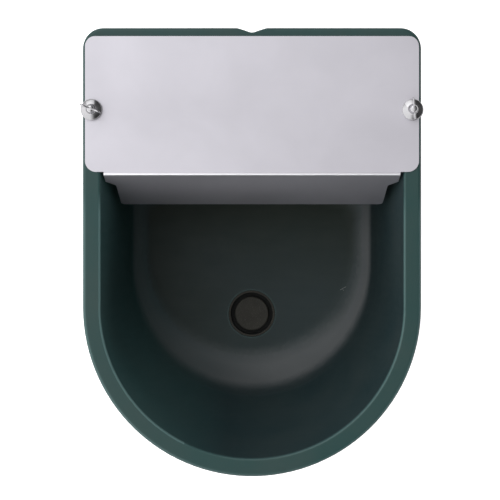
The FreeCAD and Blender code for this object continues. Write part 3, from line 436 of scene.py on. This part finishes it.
def make_cover_steel(look):
    """Rolled sheet with soft clouds, a fine grain along it and a painted highlight on the bends."""
    material, build, surface, place = new_material("cover_steel")
    cloud = build.noise(place, 1 / look.cloud, 3.0, 0.5, 0.4)
    fine = build.noise(build.stretched(place, 60.0, 2200.0, 2200.0), 1.0, 2.0)
    smear = build.noise(build.stretched(place, 12.0, 30.0, 12.0), 1.0, 4.0, 0.6)
    pale = [c * 1.03 for c in look.sheet]
    dull = [c * 0.955 for c in look.sheet]
    bent = build.ramp(build.facing()[2], (0.32, 0.0), (0.46, 1.0), (0.92, 1.0), (0.99, 0.0))
    sheet = build.mix(build.ramp(cloud, (0.30, 0.0), (0.70, 1.0)), dull, pale)
    # Painted highlight: the bends take the paler bend tone
    build.put(surface, "Base Color", build.mix(bent, sheet, look.bend))
    build.put(surface, "Metallic", 0.9)
    uneven = build.math("MULTIPLY_ADD", smear, 0.11, look.sheet_roughness - 0.055)
    uneven = build.math("MULTIPLY_ADD", fine, 0.06, uneven)
    build.put(surface, "Roughness", build.math("MULTIPLY_ADD", bent, -0.15, uneven))
    grained = build.bump(fine, 0.000004, strength=0.6)
    wavy = build.bump(build.noise(place, 14.0, 2.0), 0.0006, grained, 0.25)
    build.put(surface, "Normal", wavy)
    return material


def thread_shape(build, place, centre, pitch, radius, bottom, top):
    """Height of an upright thread's tooth from 0 to 0.5, and one where the thread is."""
    x, y, z = build.parts(place)
    x = build.math("SUBTRACT", x, centre.x)
    y = build.math("SUBTRACT", y, centre.y)
    turn = build.math("DIVIDE", build.math("ARCTAN2", y, x), tau)
    rise = build.math("DIVIDE", z, pitch)
    tooth = build.math("PINGPONG", build.math("SUBTRACT", rise, turn), 0.5)
    out = build.math("SQRT", build.math("ADD", build.times(x, x), build.times(y, y)))
    on_shank = build.math("COMPARE", out, radius, 0.0002)
    below = build.math("LESS_THAN", z, top)
    above = build.math("GREATER_THAN", z, bottom)
    return tooth, build.times(on_shank, below, above)


def make_worked_metal(name, tone, roughness, thread=None, thread_root_shade=None):
    """Cast or turned metal, with a thread in its bump and painted shade in the thread's roots where
    its sizes are given.
    """
    material, build, surface, place = new_material(name)
    build.put(surface, "Metallic", 1.0)
    cloud = build.noise(place, 240.0, 4.0, 0.6)
    shade = build.mix(cloud, tone, [c * 0.8 for c in tone])
    cut = None
    if thread is not None:
        tooth, there = thread_shape(build, place, **thread)
        # Painted shade in the thread's roots
        deep = build.times(build.ramp(tooth, (0.02, 1.0), (0.3, 0.0)), there)
        shade = build.mix(deep, shade, thread_root_shade)
        cut = build.bump(build.times(tooth, there), thread["pitch"] * 0.6)
    build.put(surface, "Base Color", shade)
    build.put(surface, "Roughness", build.math("MULTIPLY_ADD", cloud, 0.2, roughness - 0.1))
    build.put(surface, "Normal", build.bump(cloud, 0.00006, cut, 0.3))
    return material


def make_bright_steel(look):
    """Polished steel, faintly cloudy and paler on its edges."""
    material, build, surface, place = new_material("bright_steel")
    build.put(surface, "Metallic", 1.0)
    cloud = build.noise(place, 500.0, 3.0, 0.6)
    wear_and_highlight = edge_wear_and_highlight(build, 0.0004, 0.90, 0.995)
    tone = build.mix(build.times(cloud, 0.35), look.bright, [c * 0.72 for c in look.bright])
    build.put(surface, "Base Color", build.mix(build.times(wear_and_highlight, 0.4), tone, (0.85, 0.85, 0.86)))
    build.put(surface, "Roughness", build.math("MULTIPLY_ADD", cloud, 0.08, 0.07))
    build.put(surface, "Normal", build.bump(cloud, 0.00002, strength=0.5))
    return material


def make_soft(name, look, tone, roughness, grain, depth, chalk, shaded_below=None):
    """Rubber, fibre or dull plastic: mottled, with pale chalking and a fine grain."""
    material, build, surface, place = new_material(name)
    cloud = build.noise(place, 90.0, 5.0, 0.6)
    fine = build.noise(place, 1 / grain, 3.0, 0.6)
    light = [min(1, c * 1.35) for c in tone]
    mottled = build.mix(build.ramp(cloud, (0.35, 0.0), (0.65, 1.0)), tone, light)
    pale = build.times(build.ramp(fine, (0.55, 0.0), (0.75, 1.0)), chalk)
    wear_and_highlight = build.times(edge_wear_and_highlight(build, 0.0005, 0.88, 0.99), chalk)
    shade = build.mix(build.math("MAXIMUM", pale, wear_and_highlight), mottled, look.chalk)
    # Painted shade: near black below a given height, in the plug's groove
    if shaded_below is not None:
        groove_shaded = build.math("LESS_THAN", build.parts(place)[2], shaded_below)
        shade = build.mix(groove_shaded, shade, look.groove_shade)
    build.put(surface, "Base Color", shade)
    build.put(surface, "Roughness", build.math("MULTIPLY_ADD", fine, 0.2, roughness - 0.1))
    build.put(surface, "Normal", build.bump(fine, depth, strength=0.7))
    return material


# Mesh helpers
def new_piece(name, data):
    piece = bpy.data.objects.new(name, data)
    bpy.context.scene.collection.objects.link(piece)
    return piece


def smoothing_tree():
    """Geometry nodes that merge doubles and shade smooth up to an edge angle."""
    name = "smooth_by_angle"
    if name in bpy.data.node_groups:
        return bpy.data.node_groups[name]
    tree = bpy.data.node_groups.new(name, "GeometryNodeTree")
    face = tree.interface
    face.new_socket("Geometry", in_out="INPUT", socket_type="NodeSocketGeometry")
    limit = face.new_socket("Edge angle", in_out="INPUT", socket_type="NodeSocketFloat")
    limit.subtype = "ANGLE"
    limit.default_value = radians(28)
    face.new_socket("Geometry", in_out="OUTPUT", socket_type="NodeSocketGeometry")
    build = NodeBuilder(tree)
    given = build.add("NodeGroupInput").outputs
    merged = build.add(
        "GeometryNodeMergeByDistance", Geometry=given["Geometry"], Distance=0.000002
    )
    smooth = build.add(
        "GeometryNodeSetShadeSmooth", {"domain": "FACE"}, Geometry=merged.outputs["Geometry"]
    )
    edge = build.add("GeometryNodeInputMeshEdgeAngle")
    sharp = build.add("FunctionNodeCompare", {"data_type": "FLOAT", "operation": "GREATER_THAN"})
    build.put(sharp, 0, edge.outputs["Unsigned Angle"])
    build.put(sharp, 1, given["Edge angle"])
    creased = build.add(
        "GeometryNodeSetShadeSmooth", {"domain": "EDGE"},
        Geometry=smooth.outputs["Geometry"], Selection=sharp.outputs[0], Shade_Smooth=False,
    )
    build.add("NodeGroupOutput", Geometry=creased.outputs["Geometry"])
    return tree


def thread_tree():
    """Geometry nodes that wind a ridge round an upright axis."""
    tree = bpy.data.node_groups.new("thread_ridge", "GeometryNodeTree")
    face = tree.interface
    for name, kind in (
        ("Radius", "Float"), ("Pitch", "Float"), ("Turns", "Float"), ("Tooth", "Float"),
        ("Foot", "Vector"), ("Material", "Material"),
    ):
        face.new_socket(name, in_out="INPUT", socket_type=f"NodeSocket{kind}")
    face.new_socket("Geometry", in_out="OUTPUT", socket_type="NodeSocketGeometry")
    build = NodeBuilder(tree)
    given = build.add("NodeGroupInput").outputs
    spiral = build.add(
        "GeometryNodeCurveSpiral",
        Resolution=64, Rotations=given["Turns"], Start_Radius=given["Radius"],
        End_Radius=given["Radius"], Height=build.times(given["Pitch"], given["Turns"]),
    )
    section = build.add("GeometryNodeCurvePrimitiveCircle", Resolution=4, Radius=given["Tooth"])
    ridge = build.add(
        "GeometryNodeCurveToMesh",
        Curve=spiral.outputs["Curve"], Profile_Curve=section.outputs["Curve"], Fill_Caps=True,
    )
    placed = build.add(
        "GeometryNodeTransform", Geometry=ridge.outputs["Mesh"], Translation=given["Foot"]
    )
    real = build.add("GeometryNodeRealizeInstances", Geometry=placed.outputs["Geometry"])
    painted = build.add(
        "GeometryNodeSetMaterial", Geometry=real.outputs["Geometry"], Material=given["Material"]
    )
    build.add("NodeGroupOutput", Geometry=painted.outputs["Geometry"])
    return tree


def grown(name, tree, values):
    """Plain mesh object made by a node tree from its named inputs."""
    seed = new_piece(f"{name}_seed", bpy.data.meshes.new(f"{name}_seed"))
    modifier = seed.modifiers.new("Grow", "NODES")
    modifier.node_group = tree
    for socket in tree.interface.items_tree:
        if socket.in_out == "INPUT":
            modifier[socket.identifier] = values[socket.name]
    depsgraph = bpy.context.evaluated_depsgraph_get()
    mesh = bpy.data.meshes.new_from_object(seed.evaluated_get(depsgraph))
    mesh.name = name
    bpy.data.objects.remove(seed)
    return new_piece(name, mesh)


def finish_surface(piece, material, bevel=0.0):
    """Material, smooth shading and, where asked, a small edge rounding."""
    piece.data.materials.clear()
    piece.data.materials.append(material)
    modifier = piece.modifiers.new("Smooth", "NODES")
    modifier.node_group = smoothing_tree()
    if bevel:
        rounding = piece.modifiers.new("Edges", "BEVEL")
        rounding.width = bevel
        rounding.segments = 2
        rounding.limit_method = "ANGLE"
        rounding.angle_limit = radians(40)
        rounding.use_clamp_overlap = True
    weighted = piece.modifiers.new("Normals", "WEIGHTED_NORMAL")
    weighted.keep_sharp = not bevel
    weighted.weight = 60


def turned_mesh(name, centre, profile, steps=96):
    """Mesh of a profile of (radius, height) turned about an upright axis."""
    shape = bmesh.new()
    rings = []
    for radius, height in profile:
        count = steps if radius else 1
        rings.append([
            shape.verts.new((
                centre.x + radius * cos(tau * step / steps),
                centre.y + radius * sin(tau * step / steps),
                height,
            ))
            for step in range(count)
        ])
    for low, high in zip(rings, rings[1:]):
        for step in range(steps):
            after = (step + 1) % steps
            corners = (
                low[step % len(low)], low[after % len(low)],
                high[after % len(high)], high[step % len(high)],
            )
            shape.faces.new(list(dict.fromkeys(corners)))
    bmesh.ops.recalc_face_normals(shape, faces=shape.faces)
    mesh = bpy.data.meshes.new(name)
    shape.to_mesh(mesh)
    shape.free()
    return new_piece(name, mesh)


def rounded_profile(corners, segments=6):
    """Profile whose corners (radius, height, rounding) are replaced by curves."""
    points = []
    for i, (radius, height, rounding) in enumerate(corners):
        if not rounding:
            points.append((radius, height))
            continue
        here = Vector((radius, height))
        start = here + (Vector(corners[i - 1][:2]) - here).normalized() * rounding
        end = here + (Vector(corners[i + 1][:2]) - here).normalized() * rounding
        for step in range(segments + 1):
            t = step / segments
            point = start * (1 - t) ** 2 + here * 2 * t * (1 - t) + end * t ** 2
            points.append((point.x, point.y))
    return points


def dress(piece, body, node):
    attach(piece, body)
    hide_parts(node)


# Pieces
class DRINKER_OT_bowl(Operator):
    """Give the moulded bowl its grained plastic and smooth shading"""

    bl_idname = "drinker.bowl"
    bl_label = "Bowl"

    def execute(self, context):
        plastic = make_bowl_plastic(context.scene.drinker_bowl)
        finish_surface(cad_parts["bowl_body"], plastic)
        return {"FINISHED"}


class DRINKER_OT_cover(Operator):
    """Give the folded cover its rolled stainless finish"""

    bl_idname = "drinker.cover"
    bl_label = "Cover"

    def execute(self, context):
        steel = make_cover_steel(context.scene.drinker_metal)
        finish_surface(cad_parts["valve_cover"], steel, bevel=0.0003)
        return {"FINISHED"}


class DRINKER_OT_fasteners(Operator):
    """Make the bolts, washers and flanged wing nuts of bright steel"""

    bl_idname = "drinker.fasteners"
    bl_label = "Fasteners"

    def execute(self, context):
        look = context.scene.drinker_metal
        bright = make_bright_steel(look)
        for side, turn in (("left", look.left_turn), ("right", look.right_turn)):
            low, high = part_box(f"cover_bolt_{side}")
            centre = (low + high) / 2
            thread = {
                "centre": centre, "pitch": look.bolt_pitch, "radius": look.bolt_radius,
                "bottom": low.z + look.bolt_head, "top": high.z,
            }
            threaded = make_worked_metal(
                f"bolt_thread_{side}", look.bright, roughness=0.22, thread=thread, thread_root_shade=look.thread_root_shade
            )
            finish_surface(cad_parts[f"cover_bolt_{side}"], threaded)
            finish_surface(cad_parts[f"washer_{side}"], bright, bevel=0.0003)
            nut = make_wing_nut(side, centre, high.z, turn, look)
            finish_surface(nut, bright, bevel=0.0005)
            dress(nut, f"wing_nut_{side}", f"wing_nut_{side}")
        return {"FINISHED"}


def make_wing_nut(side, centre, bolt_top, turn, look):
    """Round flange and boss with a blind bore, and two upright wings across them."""
    low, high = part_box(f"wing_nut_{side}")
    boss, edge = look.boss_radius, look.flange_edge
    reach, bore = look.flange_radius, look.nut_bore
    crown = bolt_top + 0.0006
    roof = bolt_top + 0.0001
    profile = [(0, roof), (bore, roof), (bore, low.z), (reach, low.z)]

    # Rounded edge of the flange, its slope up to the boss and the boss with its round top
    foot = low.z + 0.0006
    for part in (0.0, 0.35, 0.7, 1.0):
        bow = part * radians(58)
        profile.append((reach - edge * (1 - cos(bow)), foot + edge * sin(bow)))
    brim, brim_height = profile[-1]
    slant = reach - edge - boss
    for part in (0.2, 0.4, 0.6, 0.8, 1.0):
        rise = slant * (0.64 * part - 0.16 * part ** 2)
        profile.append((brim - slant * part, brim_height + rise))
    profile += [
        (boss, crown - 0.0016), (boss - 0.0007, crown - 0.0006),
        (boss - 0.0018, crown - 0.0001), (0, crown),
    ]
    nut = turned_mesh(f"domed_wing_nut_{side}", centre, profile)

    # Both wings as one plate from tip to tip, level on top
    tip = look.wing_span / 2
    waist = low.z + (crown - low.z) * 0.62
    half = [
        (0.0018, waist), (0.0046, low.z + 0.0028),
        (tip - 0.0012, low.z + 0.0052), (tip, low.z + 0.0068),
        (tip, high.z - 0.0012), (tip - 0.0008, high.z - 0.0003), (tip - 0.0020, high.z),
        (0.0050, high.z - 0.0001), (0.0034, high.z - 0.0005), (0.0012, crown + 0.0010),
    ]
    outline = half + [(-out, height) for out, height in reversed(half)]
    add_wings(nut.data, centre, turn, look.wing_thickness, outline)
    return nut


def add_wings(mesh, centre, turn, thickness, outline):
    """Adds one closed plate through the axis, from an outline of (out, height)."""
    shape = bmesh.new()
    shape.from_mesh(mesh)
    sides = []
    for offset in (-thickness / 2, thickness / 2):
        ring = []
        for out, height in outline:
            x = centre.x + out * cos(turn) - offset * sin(turn)
            y = centre.y + out * sin(turn) + offset * cos(turn)
            ring.append(shape.verts.new((x, y, height)))
        sides.append(ring)
        shape.faces.new(ring)
    for i in range(len(outline)):
        after = (i + 1) % len(outline)
        shape.faces.new((sides[0][i], sides[0][after], sides[1][after], sides[1][i]))
    bmesh.ops.recalc_face_normals(shape, faces=shape.faces)
    shape.to_mesh(mesh)
    shape.free()


class DRINKER_OT_plug(Operator):
    """Make the rubber drain plug with its rounded grip disc"""

    bl_idname = "drinker.plug"
    bl_label = "Drain plug"

    def execute(self, context):
        look = context.scene.drinker_soft
        low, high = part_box("drain_plug")
        centre = (low + high) / 2
        outer = (high.x - low.x) / 2
        lip = outer - look.plug_lip
        disc = lip - look.plug_groove
        groove = high.z - look.plug_depth
        piece = turned_mesh("drain_plug_rubber", centre, rounded_profile([
            (0, low.z, 0),
            (lip, low.z, 0.0004),
            (outer, low.z + look.plug_foot, 0.0003),
            (outer, high.z, 0.0003),
            (lip, high.z, 0.0003),
            (lip, groove, 0.0008),
            (disc, groove, 0.0008),
            (disc, high.z, look.plug_round),
            (0, high.z, 0),
        ]))
        # Painted shade in the groove, below the grip disc's rounding
        rubber = make_soft(
            "plug_rubber", look, look.plug, roughness=0.75, grain=0.0009, depth=0.00008,
            chalk=0.16, shaded_below=high.z - look.plug_round,
        )
        finish_surface(piece, rubber)
        dress(piece, "plug", "drain_plug")
        return {"FINISHED"}


class DRINKER_OT_valve(Operator):
    """Give the float valve, its fittings and its float their materials"""

    bl_idname = "drinker.valve"
    bl_label = "Float valve"

    def execute(self, context):
        metal = context.scene.drinker_metal
        soft = context.scene.drinker_soft
        cast = make_worked_metal("valve_brass", metal.brass, roughness=0.34)
        turned = make_worked_metal("nut_brass", metal.brass, roughness=0.28)
        bright = make_bright_steel(metal)
        seal = make_soft(
            "seal_rubber", soft, soft.seal, roughness=0.7, grain=0.0006, depth=0.00005, chalk=0.10
        )
        shell = make_soft(
            "float_plastic", soft, soft.float_shell,
            roughness=0.42, grain=0.0008, depth=0.00003, chalk=0.06,
        )
        pale = make_soft(
            "strainer_plastic", soft, soft.tube,
            roughness=0.45, grain=0.0008, depth=0.00003, chalk=0.05,
        )
        fibre = make_soft(
            "fibre_washer", soft, soft.fibre, roughness=0.8, grain=0.0005, depth=0.00005, chalk=0.12
        )
        finishes = {
            "valve_body": (cast, 0.0003),
            "lock_nut": (turned, 0.0004),
            "seat_nozzle": (turned, 0),
            "plunger": (turned, 0.0002),
            "float_lever": (turned, 0.0003),
            "float_rod": (bright, 0),
            "float_nut": (turned, 0.0003),
            "pivot_pin": (bright, 0),
            "split_pin": (bright, 0),
            "plunger_seal": (seal, 0),
            "inlet_gasket": (seal, 0.0002),
            "backing_washer": (fibre, 0.0002),
            "inlet_strainer": (pale, 0),
            "outlet_tube": (pale, 0.0002),
            "float": (shell, 0),
        }
        for node, (material, bevel) in finishes.items():
            finish_surface(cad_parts[node], material, bevel)

        # Thread ridge on the inlet's tail, from its end up into the lock nut
        low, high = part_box("lock_nut")
        centre = (low + high) / 2
        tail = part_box("valve_body")[0].z
        foot = tail + metal.inlet_pitch
        thread = grown("inlet_thread", thread_tree(), {
            "Radius": metal.inlet_radius - metal.inlet_sunk,
            "Pitch": metal.inlet_pitch,
            "Turns": float(int((high.z - foot) / metal.inlet_pitch) + 1),
            "Tooth": metal.inlet_tooth,
            "Foot": (centre.x, centre.y, foot),
            "Material": turned,
        })
        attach(thread, "bowl")
        return {"FINISHED"}


# Stage
class DRINKER_OT_stage(Operator):
    """Build the white floor, the white room, the soft lamp and the camera"""

    bl_idname = "drinker.stage"
    bl_label = "Stage"

    def execute(self, context):
        look = context.scene.drinker_stage
        make_floor(look)
        make_room(look)
        make_lamp(look)
        camera = bpy.data.cameras.new("Camera")
        camera.lens = look.lens
        camera.clip_end = 10
        eye = new_piece("Camera", camera)
        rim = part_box("bowl_body")[1].z
        eye.location = (look.eye_x, look.eye_y, rim + look.eye_height)
        context.scene.camera = eye
        context.scene.view_settings.view_transform = "Standard"
        return {"FINISHED"}


def make_lamp(look):
    """Large square lamp behind the drinker, high up and to the left."""
    lamp = bpy.data.lights.new("Soft lamp", "AREA")
    lamp.shape = "SQUARE"
    lamp.size = look.lamp_size
    lamp.energy = look.lamp
    holder = new_piece("Soft lamp", lamp)
    holder.location = (look.lamp_x, look.lamp_y, look.lamp_height)
    aim = Vector((0, 0, look.lamp_aim)) - holder.location
    holder.rotation_euler = aim.to_track_quat("-Z", "Y").to_euler()


def make_floor(look):
    """Large white floor that looks pure white to the camera but keeps the shadow."""
    half = look.floor_half
    mesh = bpy.data.meshes.new("floor")
    corners = [(-half, -half, 0), (half, -half, 0), (half, half, 0), (-half, half, 0)]
    mesh.from_pydata(corners, [], [(0, 1, 2, 3)])
    floor = new_piece("floor", mesh)
    material, build, surface, _ = new_material("floor_white")
    grey = look.floor_grey
    build.put(surface, "Base Color", (grey, grey, grey, 1))
    build.put(surface, "Roughness", 0.9)
    path = build.add("ShaderNodeLightPath")
    glow = build.add("ShaderNodeEmission", Strength=look.floor_glow)
    both = build.add("ShaderNodeAddShader")
    build.put(both, 0, surface.outputs["BSDF"])
    build.put(both, 1, glow.outputs["Emission"])
    chosen = build.add("ShaderNodeMixShader")
    build.put(chosen, 0, path.outputs["Is Camera Ray"])
    build.put(chosen, 1, surface.outputs["BSDF"])
    build.put(chosen, 2, both.outputs["Shader"])
    build.put(material.node_tree.nodes["Material Output"], "Surface", chosen.outputs["Shader"])
    mesh.materials.append(material)


def make_room(look):
    """White room, brighter on the left, with strips of light near the horizon."""
    world = bpy.data.worlds.new("white_room")
    world.use_nodes = True
    bpy.context.scene.world = world
    build = NodeBuilder(world.node_tree)
    x, y, z = build.parts(build.add("ShaderNodeTexCoord").outputs["Generated"])
    across = build.add(
        "ShaderNodeMapRange", {"interpolation_type": "SMOOTHSTEP"},
        Value=x, From_Min=-0.3, From_Max=0.3, To_Min=look.left_glow, To_Max=look.right_dim,
    )
    roof = build.math("MULTIPLY_ADD", y, look.back_glow, across.outputs["Result"])

    # Dark gap on the right between the roof and the bright horizon
    height = build.ramp(z, (0.04, 0.0), (0.12, 1.0), (0.70, 1.0), (0.92, 0.0))
    dark = build.times(height, build.ramp(x, (0.12, 0.0), (0.40, 1.0)), look.gap)
    roof = build.times(roof, build.math("SUBTRACT", 1.0, dark))

    # Dimmer low down at the back and near the floor
    backward = build.ramp(y, (0.20, 0.0), (0.60, 1.0))
    sunk = build.times(backward, build.ramp(z, (0.35, 1.0), (0.85, 0.0)))
    roof = build.times(roof, build.math("MULTIPLY_ADD", sunk, -look.back_dip, 1.0))
    roof = build.times(roof, build.ramp(z, (0.0, look.low_dim), (0.20, 1.0)))

    # Bright strips along the right horizon and a little above the front one
    low = build.ramp(z, (0.0, 1.0), (0.13, 1.0), (0.24, 0.0))
    right = build.math("MAXIMUM", build.times(x, look.right_edge), look.walls)
    raised = build.ramp(z, (0.06, 0.0), (0.15, 1.0), (0.24, 1.0), (0.36, 0.0))
    frontal = build.ramp(build.times(y, -1.0), (0.1, 0.0), (0.6, 1.0))
    strips = build.math(
        "ADD", build.times(low, right), build.times(raised, frontal, look.front_edge)
    )
    background = world.node_tree.nodes["Background"]
    build.put(background, "Strength", build.times(build.math("ADD", roof, strips), look.sky))
    build.put(background, "Color", (1, 1, 1, 1))


class DRINKER_PT_panel(Panel):
    """Sidebar panel with the looks and the steps"""

    bl_label = "Animal drinker"
    bl_idname = "DRINKER_PT_panel"
    bl_space_type = "VIEW_3D"
    bl_region_type = "UI"
    bl_category = "Drinker"

    def draw(self, context):
        for group in PROPERTY_GROUPS:
            box = self.layout.box()
            settings = getattr(context.scene, group)
            for name in settings.__annotations__:
                box.prop(settings, name)
        for step in STEPS:
            self.layout.operator(step.bl_idname)


PROPERTY_GROUPS = {
    "drinker_bowl": DrinkerBowlLook,
    "drinker_metal": DrinkerMetalLook,
    "drinker_soft": DrinkerSoftLook,
    "drinker_stage": DrinkerStageLook,
}
STEPS = (
    DRINKER_OT_bowl, DRINKER_OT_cover, DRINKER_OT_fasteners,
    DRINKER_OT_plug, DRINKER_OT_valve, DRINKER_OT_stage,
)


def register():
    for kind in (*PROPERTY_GROUPS.values(), *STEPS, DRINKER_PT_panel):
        bpy.utils.register_class(kind)
    for name, kind in PROPERTY_GROUPS.items():
        setattr(bpy.types.Scene, name, PointerProperty(type=kind))


def unregister():
    for name in PROPERTY_GROUPS:
        delattr(bpy.types.Scene, name)
    for kind in (DRINKER_PT_panel, *reversed(STEPS), *reversed(PROPERTY_GROUPS.values())):
        bpy.utils.unregister_class(kind)


def main():
    register()
    bpy.ops.drinker.bowl()
    bpy.ops.drinker.cover()
    bpy.ops.drinker.fasteners()
    bpy.ops.drinker.plug()
    bpy.ops.drinker.valve()
    bpy.ops.drinker.stage()
    bpy.context.view_layer.update()


if __name__ == "__main__":
    main()
